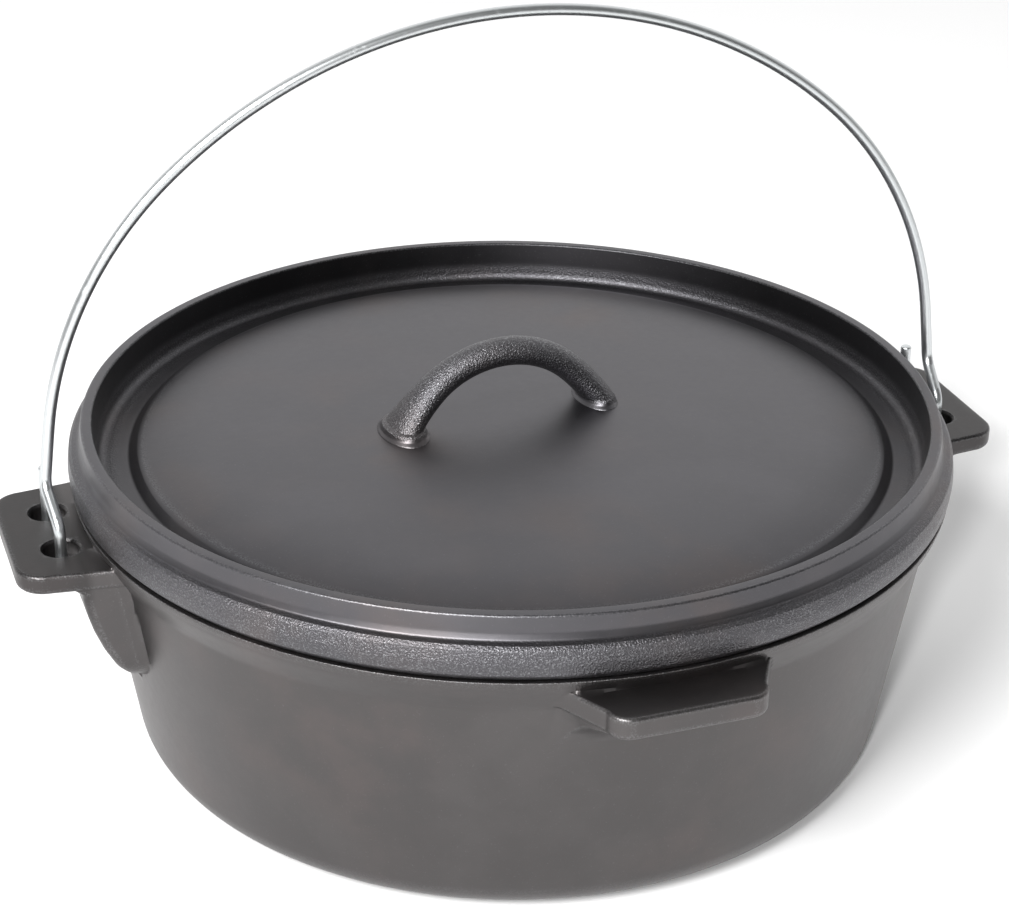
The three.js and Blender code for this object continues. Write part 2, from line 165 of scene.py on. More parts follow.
class PotSizes(bpy.types.PropertyGroup):
    height: length("Height", "Height of the pot's rim", POT_BOX[1].z)
    rim_radius: length("Rim radius", "Radius of the pot's rim", 154.4 * MM)
    rim_overhang: length("Rim overhang", "How far the rim stands out from the wall", 4 * MM)
    rim_band: length("Rim band", "Height over which the wall swells to the rim", 13.5 * MM)
    wall: length("Wall", "Thickness of the wall", 4.7 * MM)
    floor: length("Floor", "Thickness of the floor", 5 * MM)
    taper: bpy.props.FloatProperty(
        name="Taper", description="How far the wall leans in for its height", default=0.159
    )
    base_corner: length("Base corner", "Radius between base and wall", 13 * MM)
    ear_tip: length("Ear tip", "Reach of an ear from the middle of the pot", POT_BOX[1].x)
    ear_drop: length("Ear drop", "Depth of the ears' top below the rim", 4 * MM)
    ear_thickness: length("Ear thickness", "Thickness of an ear", 7 * MM)
    ear_tip_half: length("Ear tip half width", "Half an ear's width at its tip", 30.5 * MM)
    ear_root_half: length("Ear root half width", "Half an ear's width at the rim", 33.5 * MM)
    gusset_depth: length("Gusset depth", "Height of the web under an ear", 39 * MM)
    hole: length("Hole", "Diameter of the bail's holes", 12 * MM)
    hole_spacing: length("Hole spacing", "Distance between the two holes of an ear", 26.6 * MM)
    hole_inset: length("Hole inset", "Distance from an ear's tip to its holes", 16.8 * MM)
    tab_tip: length("Tab tip", "Reach of a tipping tab from the middle", POT_BOX[1].y)
    tab_drop: length("Tab drop", "Depth of the tabs' top below the rim", 4.5 * MM)
    tab_thickness: length("Tab thickness", "Thickness of a tab", 8 * MM)
    tab_tip_half: length("Tab tip half width", "Half a tab's width at its tip", 22.5 * MM)
    tab_root_half: length("Tab root half width", "Half a tab's width at the rim", 30.5 * MM)


class LidSizes(bpy.types.PropertyGroup):
    top: length("Top", "Height of the lid's raised rim", 121.1 * MM)
    seat: length("Seat", "Height of the seat on the pot's rim", 100.3 * MM)
    flange_radius: length("Flange radius", "Radius of the lid's flange", LID_BOX[1].x)
    flange_height: length("Flange height", "Height of the flange below its ledge", 12.2 * MM)
    rim_radius: length("Rim radius", "Radius of the raised rim", 150.1 * MM)
    rim_wall: length("Rim wall", "Thickness of the raised rim", 4.2 * MM)
    dish_depth: length("Dish depth", "Depth of the channel below the raised rim", 14 * MM)
    dome_rise: length("Dome rise", "Height of the dome over the channel", 8.8 * MM)
    plate: length("Plate", "Thickness of the plate", 4.6 * MM)
    handle_rise: length("Handle rise", "Height of the handle's crown over the dome", 24 * MM)
    handle_width: length("Handle width", "Width of the handle at its crown", 11.5 * MM)
    handle_foot: length("Handle foot", "Width of the handle at its feet", 21 * MM)
    handle_thickness: length("Handle thickness", "Thickness of the handle", 10 * MM)


class BailSizes(bpy.types.PropertyGroup):
    wire: length("Wire", "Diameter of the wire", 4 * MM)
    bend: length("Bend", "Radius of the bends above the ears", 7 * MM)
    hook_corner: length("Hook corner", "Radius of the bends under the ears", 5 * MM)
    leg: length("Leg", "Length of the straight leg under each shoulder", 20 * MM)
    shoulder: angle("Shoulder", "Where the crown arc meets the shoulder arc", 41.2)
    leg_angle: angle("Leg angle", "How steep the straight legs stand", 82.5)


class FinishLook(bpy.types.PropertyGroup):
    pot_colour: colour("Pot iron", "Colour of the pot's iron", (0.112, 0.106, 0.106))
    lid_colour: colour("Lid iron", "Colour of the lid's iron", (0.112, 0.109, 0.117))
    warm_colour: colour("Warm patches", "Colour of the thin brown patches", (0.124, 0.108, 0.106))
    spark_colour: colour("Grain sparks", "Colour of the burnished grain tops", (0.62, 0.64, 0.66))
    wire_colour: colour("Wire", "Colour of the plated wire", (0.80, 0.83, 0.84))
    iron_roughness: share("Iron roughness", "Roughness of the iron", 0.38)
    wire_roughness: share("Wire roughness", "Roughness of the wire", 0.27)
    grain: length("Grain", "Height of the sand grain", 0.08 * MM)


class StudioLook(bpy.types.PropertyGroup):
    camera_place: bpy.props.FloatVectorProperty(
        name="Camera place",
        description="Where the camera stands",
        default=(-0.2608, -0.7325, 0.4919),
        subtype="XYZ",
        unit="LENGTH",
    )
    camera_heading: angle("Camera heading", "Turn of the view from the back to the right", 19.44)
    camera_pitch: angle("Camera pitch", "How far the camera looks down", 26.78)
    camera_roll: angle("Camera roll", "Tilt of the camera about its view", 0.705)
    camera_lens: bpy.props.FloatProperty(
        name="Lens", description="Focal length in millimetres", default=87.19, min=1.0
    )
    floor_colour: colour("Floor", "Colour of the floor", (0.94, 0.94, 0.94))
    sky: bpy.props.FloatProperty(
        name="Sky", description="Strength of the light from all round", default=1.15, min=0.0
    )
    sky_front: bpy.props.FloatProperty(
        name="Front sky", description="Strength of that light on the camera's side", default=0.12, min=0.0
    )
    key: bpy.props.FloatProperty(
        name="Key", description="Power of the main soft light in watts", default=48.0, min=0.0
    )
    side: bpy.props.FloatProperty(
        name="Side", description="Power of the soft light from the left in watts", default=150.0, min=0.0
    )


# ---- shader expressions ----
class Sock:
    """A value in a node tree that adds Math nodes when it is used in an expression."""

    def __init__(self, shader, socket):
        self.shader = shader
        self.socket = socket

    def math(self, operation, *values):
        node = self.shader.node(
            "ShaderNodeMath", {"operation": operation}, dict(enumerate(values))
        )
        return node.out(0)

    def __add__(self, other):
        return self.math("ADD", self, other)

    def __mul__(self, other):
        return self.math("MULTIPLY", self, other)

    def __sub__(self, other):
        return self.math("SUBTRACT", self, other)

    def __rsub__(self, other):
        return self.math("SUBTRACT", other, self)

    def __pow__(self, other):
        return self.math("POWER", self, other)

    __radd__ = __add__
    __rmul__ = __mul__


class Built:
    """A node that was added, with its outputs by name or place."""

    def __init__(self, shader, node):
        self.shader = shader
        self.node = node

    def out(self, name):
        return Sock(self.shader, self.node.outputs[name])


class Shader:
    """A material whose nodes are added by node() and joined by their sockets."""

    def __init__(self, name):
        self.material = bpy.data.materials.new(name)
        self.material.use_nodes = True
        self.tree = self.material.node_tree
        self.surface = self.tree.nodes["Principled BSDF"]
        self.place = self.node("ShaderNodeTexCoord").out("Object")

    def node(self, kind, settings=None, inputs=None):
        node = self.tree.nodes.new(kind)
        for name, value in (settings or {}).items():
            setattr(node, name, value)
        for name, value in (inputs or {}).items():
            self.join(node.inputs[name], value)
        return Built(self, node)

    def join(self, target, value):
        if isinstance(value, Sock):
            self.tree.links.new(value.socket, target)
        else:
            target.default_value = value

    def feed(self, **sockets):
        for name, value in sockets.items():
            self.join(self.surface.inputs[name.replace("_", " ")], value)

    def noise(self, size, detail=2.0, roughness=0.5, vector=None):
        """Noise from 0 to 1 whose lumps are about this size in metres."""
        values = {"Scale": 1.0 / size, "Detail": detail, "Roughness": roughness}
        values["Vector"] = self.place if vector is None else vector
        return self.node("ShaderNodeTexNoise", {}, values).out("Fac")

    def between(self, value, low, high):
        """0 below low, 1 above high and smooth between them."""
        settings = {"interpolation_type": "SMOOTHSTEP"}
        inputs = {"Value": value, "From Min": low, "From Max": high}
        return self.node("ShaderNodeMapRange", settings, inputs).out("Result")

    def mix(self, factor, first, second):
        """The first colour where factor is 0 and the second where it is 1."""
        node = self.node("ShaderNodeMix", {"data_type": "RGBA"})
        for place, value in ((0, factor), (6, first), (7, second)):
            if not isinstance(value, Sock) and place:
                value = (*value[:3], 1.0)
            self.join(node.node.inputs[place], value)
        return node.out(2)

    def attribute(self, name):
        return self.node("ShaderNodeAttribute", {"attribute_name": name}).out("Fac")

    def parts(self):
        """X, Y and Z of the place on the piece."""
        node = self.node("ShaderNodeSeparateXYZ", {}, {"Vector": self.place})
        return node.out("X"), node.out("Y"), node.out("Z")

    def bump(self, height, distance):
        return self.node("ShaderNodeBump", {}, {"Height": height, "Distance": distance}).out("Normal")


# ---- materials ----
def cast_iron(name, base, look, sand, shade):
    """Oil-seasoned cast iron, from 0 to 1 with coarse grain by sand(shader), and darkened towards black by
    shade(shader), which holds painted shade.
    """
    s = Shader(name)
    coarse = sand(s)
    edge = s.attribute("edge")
    grain = s.noise(0.6 * MM, 2.0, 0.5)
    pits = s.noise(3.2 * MM, 2.0, 0.5)
    clouds = s.noise(28 * MM, 4.0, 0.55)
    drifts = s.noise(70 * MM, 2.0, 0.5)

    tint = s.mix(s.between(drifts, 0.42, 0.68) * 0.7, base, look.warm_colour)
    dark = s.mix(s.between(clouds, 0.35, 0.7), tuple(0.9 * c for c in base), tint)
    flecks = s.between(s.noise(0.8 * MM, 2.0, 0.7), 0.62, 0.76)
    tops = s.between(grain, 0.50, 0.68)
    worn = s.between(edge, 0.12, 0.5) * s.between(grain, 0.42, 0.62)
    spark = coarse * tops * 0.09 + worn * 0.09 + flecks * 0.05
    # painted shade: the colour is mixed towards black where the shade mask is high
    dark = s.mix(shade(s), dark, (0.0, 0.0, 0.0))
    s.feed(Base_Color=s.mix(spark, dark, look.spark_colour))

    rough = look.iron_roughness + (clouds - 0.5) * 0.10 + pits * 0.06 - spark * 0.14
    s.feed(Roughness=rough)
    height = grain * (0.16 + coarse * 3.2 + worn * 0.4) + pits * 0.3
    s.feed(Normal=s.bump(height, look.grain))
    s.surface.inputs["Metallic"].default_value = 1.0
    return s.material


def lid_sand(s):
    """Coarse grain on the flange, on the handle and in the corner below the raised rim."""
    x, y, z = s.parts()
    radius = (x * x + y * y) ** 0.5
    flange = s.between(radius, *FLANGE_EDGE)
    handle = s.between(z, *HANDLE_LOW) * (1.0 - s.between(radius, *HANDLE_REACH))
    corner = s.between(radius, *CORNER_REACH) * (1.0 - s.between(z, *CORNER_TOP))
    return flange + handle * 1.5 + corner * 0.8


def pot_sand(s):
    """Coarse grain on the top of the rim and beside it."""
    x, y, z = s.parts()
    radius = (x * x + y * y) ** 0.5
    top = s.between(z, *RIM_TOP)
    inside = s.between(radius, *RIM_INSIDE)
    return top * inside * 0.8


def pot_shade(s):
    """Darkens the whole of each ear, and their upward-facing tops more as painted shade."""
    x, _, z = s.parts()
    # every part of an ear is darkened by 0.32; the tops get 0.16 more as painted shade
    return s.between(x * x, *EAR_REACH_SQUARED) * (0.32 + s.between(z, *EAR_TOP) * 0.16)


def lid_shade(s):
    """Painted shade on the dome's shoulder, in the channel and inside the raised rim."""
    x, y, z = s.parts()
    radius = (x * x + y * y) ** 0.5
    channel = s.between(radius, *CHANNEL_REACH) * (1.0 - s.between(radius, *CHANNEL_END))
    shoulder = s.between(radius, *SHOULDER_REACH) * (1.0 - s.between(radius, *SHOULDER_END))
    # painted shade: darker in the channel, more up the inner wall of the raised rim, and on the dome's
    # shoulder
    return channel * (0.28 + s.between(z, *WALL_FOOT) * 0.37) + shoulder * 0.2


def plated_wire(look):
    """Zinc-plated drawn wire, with streaks along it and small dull spots."""
    s = Shader("zinc_wire")
    along = s.attribute("along")
    around = s.attribute("around")
    inputs = {"X": along * 0.012, "Y": around, "Z": 0.0}
    drawn = s.node("ShaderNodeCombineXYZ", {}, inputs).out("Vector")
    streaks = s.noise(0.09, 3.0, 0.6, drawn)
    spots = s.noise(2.0 * MM, 3.0, 0.6)
    shade = s.mix(s.between(streaks, 0.35, 0.7), tuple(0.62 * c for c in look.wire_colour), look.wire_colour)
    s.feed(Base_Color=s.mix(s.between(spots, 0.62, 0.8) * 0.4, shade, (0.34, 0.35, 0.36)))
    s.feed(Roughness=look.wire_roughness + streaks * 0.12 + s.between(spots, 0.55, 0.75) * 0.15)
    s.feed(Normal=s.bump(streaks + spots * 0.5, 0.03 * MM))
    s.surface.inputs["Metallic"].default_value = 1.0
    return s.material


def studio_floor(look):
    """Matt pale floor with the faintest mottle."""
    s = Shader("studio_floor")
    tone = s.noise(0.25, 2.0, 0.5)
    base = tuple(look.floor_colour)
    s.feed(Base_Color=s.mix(tone * 0.2, base, tuple(0.97 * c for c in base)))
    s.surface.inputs["Roughness"].default_value = 0.9
    s.surface.inputs["Specular IOR Level"].default_value = 0.1
    return s.material


# ---- outlines ----
def rounded_outline(corners, steps=6):
    """Points along corners given as (x, z, radius), each corner rounded by its radius."""
    spots = [Vector(c[:2]) for c in corners]
    points = [tuple(spots[0])]
    for before, here, after, corner in zip(spots, spots[1:], spots[2:], corners[1:]):
        into, out = here - before, after - here
        turn = into.angle(out, 0.0)
        reach = corner[2] * math.tan(turn / 2)
        reach = min(reach, 0.45 * into.length, 0.45 * out.length)
        if reach < 0.02 * MM:
            points.append(tuple(here))
            continue
        start = here - into.normalized() * reach
        end = here + out.normalized() * reach
        for step in range(steps + 1):
            t = step / steps
            points.append(tuple(start.lerp(here, t).lerp(here.lerp(end, t), t)))
    points.append(tuple(spots[-1]))
    return points


def spaced(points, gap):
    """The same run of points with none further apart than gap."""
    filled = [points[0]]
    for before, here in zip(points, points[1:]):
        run = math.dist(before, here)
        count = max(1, math.ceil(run / gap))
        for step in range(1, count + 1):
            t = step / count
            filled.append(tuple(a + (b - a) * t for a, b in zip(before, here)))
    return filled


def resampled(points, count):
    """Points at even steps along a run."""
    p = np.array(points, float)
    along = np.concatenate([[0.0], np.cumsum(np.hypot(*np.diff(p, axis=0).T))])
    at = np.linspace(0.0, along[-1], count)
    return np.stack([np.interp(at, along, p[:, 0]), np.interp(at, along, p[:, 1])], axis=1)


# ---- meshes ----
def grid_mesh(rings):
    """A closed body from rings of points of equal length, shut at both ends by a middle point."""
    rows, columns = rings.shape[:2]
    body = bmesh.new()
    verts = [[body.verts.new(p) for p in ring] for ring in rings]
    ends = [body.verts.new(rings[0].mean(axis=0)), body.verts.new(rings[-1].mean(axis=0))]
    for j in range(rows - 1):
        for i in range(columns):
            k = (i + 1) % columns
            body.faces.new((verts[j][i], verts[j][k], verts[j + 1][k], verts[j + 1][i]))
    for i in range(columns):
        k = (i + 1) % columns
        body.faces.new((ends[0], verts[0][k], verts[0][i]))
        body.faces.new((ends[1], verts[-1][i], verts[-1][k]))
    if body.calc_volume(signed=True) < 0:
        bmesh.ops.reverse_faces(body, faces=body.faces)
    return body


def turned_mesh(outline, segments):
    """A body turned about Z from an outline of (radius, height) that runs from axis to axis."""
    turns = np.linspace(0.0, 2 * math.pi, segments, endpoint=False)
    o = np.array(outline, float)
    x = o[:, :1] * np.cos(turns)
    y = o[:, :1] * np.sin(turns)
    z = np.repeat(o[:, 1:], segments, axis=1)
    return grid_mesh(np.stack([x, y, z], axis=2))


def mark_edges(mesh):
    """Writes how sharply each point stands out, as the attribute edge, for wear."""
    body = bmesh.new()
    body.from_mesh(mesh)
    sharp = np.zeros(len(body.verts), np.float32)
    for edge in body.edges:
        if len(edge.link_faces) == 2:
            turn = edge.calc_face_angle_signed(0.0)
            sharp[edge.verts[0].index] += turn
            sharp[edge.verts[1].index] += turn
    body.free()
    attribute = mesh.attributes.new("edge", "FLOAT", "POINT")
    attribute.data.foreach_set("value", sharp)


def new_piece(name, body, material, split_angle=None):
    """An object from a bmesh, smooth shaded, split where faces turn by more than split_angle."""
    mesh = bpy.data.meshes.new(name)
    body.to_mesh(mesh)
    body.free()
    piece = bpy.data.objects.new(name, mesh)
    bpy.context.scene.collection.objects.link(piece)
    mesh.materials.append(material)
    mesh.shade_smooth()
    if split_angle:
        mesh.set_sharp_from_angle(angle=math.radians(split_angle))
    return piece


def stands_for(piece, node):
    """The piece is shown for a CAD node and moves with that node's body."""
    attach(piece, frame["nodes"][node]["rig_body"])
    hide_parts(node)


def cut(piece, cutters):
    """Cuts the cutters out of a piece and removes them."""
    for cutter in cutters:
        modifier = piece.modifiers.new("cut", "BOOLEAN")
        modifier.operation = "DIFFERENCE"
        modifier.solver = "EXACT"
        modifier.object = cutter
    graph = bpy.context.evaluated_depsgraph_get()
    mesh = bpy.data.meshes.new_from_object(piece.evaluated_get(graph))
    old = piece.data
    piece.modifiers.clear()
    piece.data = mesh
    bpy.data.meshes.remove(old)
    for cutter in cutters:
        bpy.data.objects.remove(cutter)


# ---- pot ----
class Lobe:
    """An ear or a tab: its plan, and its section from the wall round its tip to the rim."""

    def __init__(self, middle, root, tip, root_half, tip_half, corner):
        self.middle = middle
        self.root = root
        self.tip = tip
        self.root_half = root_half
        self.tip_half = tip_half
        self.corner = corner
        self.section = []

    def half_width(self, x):
        """Half the width of the straight sides at a distance from the pot's middle."""
        along = (x - self.root) / (self.tip - self.root)
        return self.root_half + (self.tip_half - self.root_half) * along

    def radius(self, turn, station, wall):
        """How far a station's outline stands from the pot's middle at each angle from the lobe's middle."""
        reach, _, inset, corner, soft = station
        start = wall - 8 * MM
        corner = min(corner, max(0.45 * (reach - wall), 0.4 * MM))
        x = np.linspace(start, max(reach - corner, start + 1 * MM), 50)
        near = np.clip(1.0 - (x - wall) / (2.2 * SIDE_FLARE), 0.0, 1.6)
        y = self.half_width(x) - inset + SIDE_FLARE * near**2
        bend = np.linspace(0.0, math.pi / 2, 14)[1:]
        end = y[-1] - corner
        x = np.concatenate([x, x[-1] + corner * np.sin(bend), np.full(12, x[-1] + corner)])
        y = np.concatenate([y, end + corner * np.cos(bend), np.linspace(end, 0.0, 13)[1:]])
        angles, radii = np.arctan2(y, x)[::-1], np.hypot(x, y)[::-1]
        crisp = np.interp(np.abs(turn), angles, radii, right=0.0)
        fade = (self.half_width(wall) - inset - np.abs(turn) * wall) / ROOT_SPREAD
        fade = np.clip(fade, 0.0, 1.0)
        swell = wall + (reach - wall) * fade * fade * (3 - 2 * fade)
        return crisp + (swell - crisp) * soft


def stations(path, inset, corner, soft=0.0):
    """Section stations along a path: x, z and three values, each given once or as a pair to go between.

    The values are how far the sides stand in, the corners' radius and how softly the sides run out
    into the wall.
    """
    t = np.linspace(0.0, 1.0, len(path))
    columns = [np.array(path, float)]
    for value in (inset, corner, soft):
        low, high = value if isinstance(value, tuple) else (value, value)
        columns.append((low + (high - low) * t)[:, None])
    return np.hstack(columns)


def slab_stations(lobe, inner, low, high, edge_low, edge_high, stop):
    """Stations under a slab from inner, round its tip and back over its top to stop."""
    tip, corner = lobe.tip, lobe.corner
    bend = np.linspace(0.0, math.pi / 2, 6)
    under = resampled([(inner, low), (tip - edge_low, low)], 9)
    lower = [(tip - edge_low * (1 - math.sin(a)), low + edge_low * (1 - math.cos(a))) for a in bend]
    face = resampled([(tip, low + edge_low), (tip, high - edge_high)], 5)
    upper = [(tip - edge_high * (1 - math.cos(a)), high - edge_high * (1 - math.sin(a))) for a in bend]
    over = resampled([(tip - edge_high, high), (stop, high)], 10)
    parts = [
        stations(under, edge_low, (4 * MM, corner - edge_low)),
        stations(lower, 0.0, corner)[1:],
        stations(face, 0.0, corner)[1:-1],
        stations(upper, 0.0, corner),
        stations(over, edge_high, (corner - edge_high, 4 * MM))[1:],
    ]
    for rows in (parts[1], parts[3]):
        rows[:, 2] = tip - rows[:, 0]
        rows[:, 3] = corner - rows[:, 2]
    return np.vstack(parts)


def pot_walls(sizes):
    """The wall's radius at a height outside, with the swelling of the rim band."""
    slope_top = sizes.rim_radius - sizes.rim_overhang
    foot = sizes.height - sizes.rim_band

    def outer(z):
        plain = slope_top - sizes.taper * (sizes.height - z)
        swell = np.clip((z - foot) / sizes.rim_band, 0.0, 1.0)
        return plain + sizes.rim_overhang * np.sin(swell * math.pi / 2) ** 1.35

    return outer


def ear_lobe(sizes, outer):
    """An ear with its gusset."""
    high = sizes.height - sizes.ear_drop
    low = high - sizes.ear_thickness
    lobe = Lobe(0.0, sizes.rim_radius, sizes.ear_tip, sizes.ear_root_half, sizes.ear_tip_half, 10 * MM)
    foot = low - sizes.gusset_depth
    drop = np.array([1.0, 0.80, 0.62, 0.44, 0.28, 0.15, 0.06]) * sizes.gusset_depth
    out = sizes.ear_tip - sizes.hole_inset - 3.2 * MM
    start = outer(foot)
    reach = start + np.array([0.0, 0.42, 0.645, 0.81, 0.91, 0.97, 0.99]) * (out - start)
    spots = [(start - 0.3 * MM, foot - 1.5 * MM), *zip(reach, low - drop)]
    spots += [(out + 0.8 * MM, low - 1.6 * MM), (out + 3.0 * MM, low)]
    path = resampled(rounded_outline([(x, z, 6 * MM) for x, z in spots], 4), 34)
    web = stations(path, 0.6 * MM, 3.5 * MM)
    depth = np.clip((foot + EAR_FOOT_ROUND - web[:, 1]) / EAR_FOOT_ROUND, 0.0, 1.0)
    web[:, 2] += EAR_FOOT_ROUND * (1.0 - np.sqrt(1.0 - depth**2))
    slab = slab_stations(lobe, spots[-1][0], low, high, 1.8 * MM, 1.2 * MM, outer(high) - 0.5 * MM)
    lobe.section = np.vstack([web, slab[1:]])
    return lobe


def tab_lobe(sizes, outer):
    """A tipping tab with its swept underside."""
    high = sizes.height - sizes.tab_drop
    low = high - sizes.tab_thickness
    middle = math.pi / 2
    lobe = Lobe(middle, sizes.rim_radius, sizes.tab_tip, sizes.tab_root_half, sizes.tab_tip_half, 7 * MM)
    start = outer(low - TAB_SWEEP)
    sweep = sizes.tab_tip - start
    under = [(0.05, 0.80), (0.15, 0.58), (0.31, 0.36), (0.50, 0.17), (0.72, 0.05), (0.86, 0.0)]
    spots = [(start - 0.3 * MM, low - TAB_SWEEP)]
    spots += [(start + a * sweep, low - b * TAB_SWEEP) for a, b in under]
    path = resampled(rounded_outline([(x, z, 8 * MM) for x, z in spots], 4), 34)
    web = stations(path, (1 * MM, 1.8 * MM), 4 * MM, (1.0, 0.0))
    slab = slab_stations(lobe, spots[-1][0], low, high, 1.8 * MM, 1.2 * MM, outer(high) - 0.5 * MM)
    lobe.section = np.vstack([web, slab[1:]])
    return lobe


def spread_turns():
    """Angles round the pot, close together where the sides of the ears and the tabs stand."""
    quarter = []
    at = 0.0
    while at < 90.0:
        quarter.append(at)
        from_ear, from_tab = at, 90.0 - at
        if EAR_SIDES[0] < from_ear < EAR_SIDES[1] or TAB_SIDES[0] < from_tab < TAB_SIDES[1]:
            at += FINE_STEP
        elif from_ear < LOBE_SPAN or from_tab < LOBE_SPAN:
            at += MIDDLE_STEP
        else:
            at += WIDE_STEP
    quarter = np.array(quarter)
    full = np.concatenate([quarter, 180.0 - quarter[1:], 180.0 + quarter, 360.0 - quarter[1:], [90.0, 270.0]])
    return np.radians(np.unique(np.round(full, 5)))


def nearest_lobe(turns, lobe):
    """Each angle's distance from the lobe's middle or the middle of its twin opposite."""
    return (turns - lobe.middle + math.pi / 2) % math.pi - math.pi / 2


def nested_radii(turns, lobe, outer):
    """A lobe's outline at each of its stations, growing up to its tip and shrinking over its top."""
    away = nearest_lobe(turns, lobe)
    radii = np.array([lobe.radius(away, station, outer(station[1])) for station in lobe.section])
    tip = int(np.argmax(lobe.section[:, 0]))
    radii[: tip + 1] = np.maximum.accumulate(radii[: tip + 1], axis=0)
    radii[tip:] = np.minimum.accumulate(radii[tip:], axis=0)
    return radii


def side_rings(turns, lobes, outer, low, high):
    """Rings of the outer wall between two heights, standing out as the ears and the tabs."""
    count = len(lobes[0].section)
    plain = np.linspace(low, high, count)
    z = np.repeat(plain[:, None], len(turns), axis=1)
    weights = []
    for lobe in lobes:
        away = np.degrees(np.abs(nearest_lobe(turns, lobe)))
        near = np.clip((23.0 - away) / 5.0, 0.0, 1.0)
        weights.append(near * near * (3 - 2 * near))
        z = z + weights[-1] * (lobe.section[:, 1] - plain)[:, None]
    radius = outer(z)
    for lobe, weight in zip(lobes, weights):
        lobed = nested_radii(turns, lobe, outer)
        radius = np.where(weight > 0.999, np.maximum(radius, lobed), radius)
    return parted(np.stack([radius, z], axis=2))


def parted(rings):
    """The same rings slid a little along each column, so that none of their points coincide."""
    count = len(rings)
    even = np.linspace(0.0, 1.0, count)
    for i in range(rings.shape[1]):
        column = rings[:, i]
        along = np.concatenate([[0.0], np.cumsum(np.hypot(*np.diff(column, axis=0).T))])
        at = along[-1] * (0.998 * along / along[-1] + 0.002 * even)
        rings[:, i] = np.stack([np.interp(at, along, column[:, k]) for k in (0, 1)], axis=1)
    return rings


def pot_mesh(sizes):
    """The pot casting without its holes."""
    outer = pot_walls(sizes)
    turns = spread_turns()
    lobes = [ear_lobe(sizes, outer), tab_lobe(sizes, outer)]
    low = lobes[0].section[0, 1]
    high = sizes.height - sizes.ear_drop
    base = sizes.base_corner
    lean = math.atan(sizes.taper)
    base_edge = outer(base) - base / math.cos(lean)
    sweep = np.linspace(-math.pi / 2, -lean, 12)
    below = [(3 * MM, 0.0), (60 * MM, 0.0)]
    below += [(base_edge + base * math.cos(a), base + base * math.sin(a)) for a in sweep]
    wall = np.linspace(base, low, 14)[1:-1]
    below += [(outer(z), z) for z in wall]
    bore = outer(sizes.height) - sizes.rim_overhang - sizes.wall
    top = sizes.height
    inner_foot = bore - sizes.taper * (top - sizes.floor)
    crown = [
        (outer(high + 0.3 * MM), high + 0.3 * MM, 0.0),
        (outer(top - 1 * MM), top - 1 * MM, 1 * MM),
        (outer(top), top, 1.1 * MM),
        (bore + 0.5 * MM, top, 1.0 * MM),
        (inner_foot, sizes.floor, INNER_CORNER),
        (60 * MM, sizes.floor, 0.0),
        (3 * MM, sizes.floor, 0.0),
    ]
    above = spaced(rounded_outline(crown, 8), 9 * MM)

    def ring_of(r, z):
        return np.stack([np.full(len(turns), r), np.full(len(turns), z)], axis=1)

    rings = [ring_of(r, z) for r, z in below]
    rings += list(side_rings(turns, lobes, outer, low, high))
    rings += [ring_of(r, z) for r, z in above]
    rings = np.array(rings)
    x = rings[:, :, 0] * np.cos(turns)
    y = rings[:, :, 0] * np.sin(turns)
    return grid_mesh(np.stack([x, y, rings[:, :, 1]], axis=2))


def hole_cutters(sizes):
    """Four bodies that cut the bail's holes, flared where they leave the ears' faces."""
    radius = sizes.hole / 2
    high = sizes.height - sizes.ear_drop
    low = high - sizes.ear_thickness
    profile = [
        (0.0, low - 9 * MM, 0.0),
        (radius + HOLE_FLARE, low - 9 * MM, 0.0),
        (radius + 0.2 * MM, low + HOLE_FLARE, 0.0),
        (radius, low + 2 * HOLE_FLARE, 1 * MM),
        (radius, high - HOLE_FLARE, HOLE_FLARE),
        (radius + HOLE_FLARE, high + 0.05 * MM, 0.0),
        (radius + HOLE_FLARE, high + 4 * MM, 0.0),
        (0.0, high + 4 * MM, 0.0),
    ]
    cutters = []
    for side in (-1, 1):
        for row in (-1, 1):
            body = turned_mesh(rounded_outline(profile, 4)[1:-1], 48)
            place = (side * (sizes.ear_tip - sizes.hole_inset), row * sizes.hole_spacing / 2, 0.0)
            bmesh.ops.translate(body, verts=body.verts, vec=place)
            cutter = new_piece("hole_cutter", body, None)
            cutters.append(cutter)
    return cutters


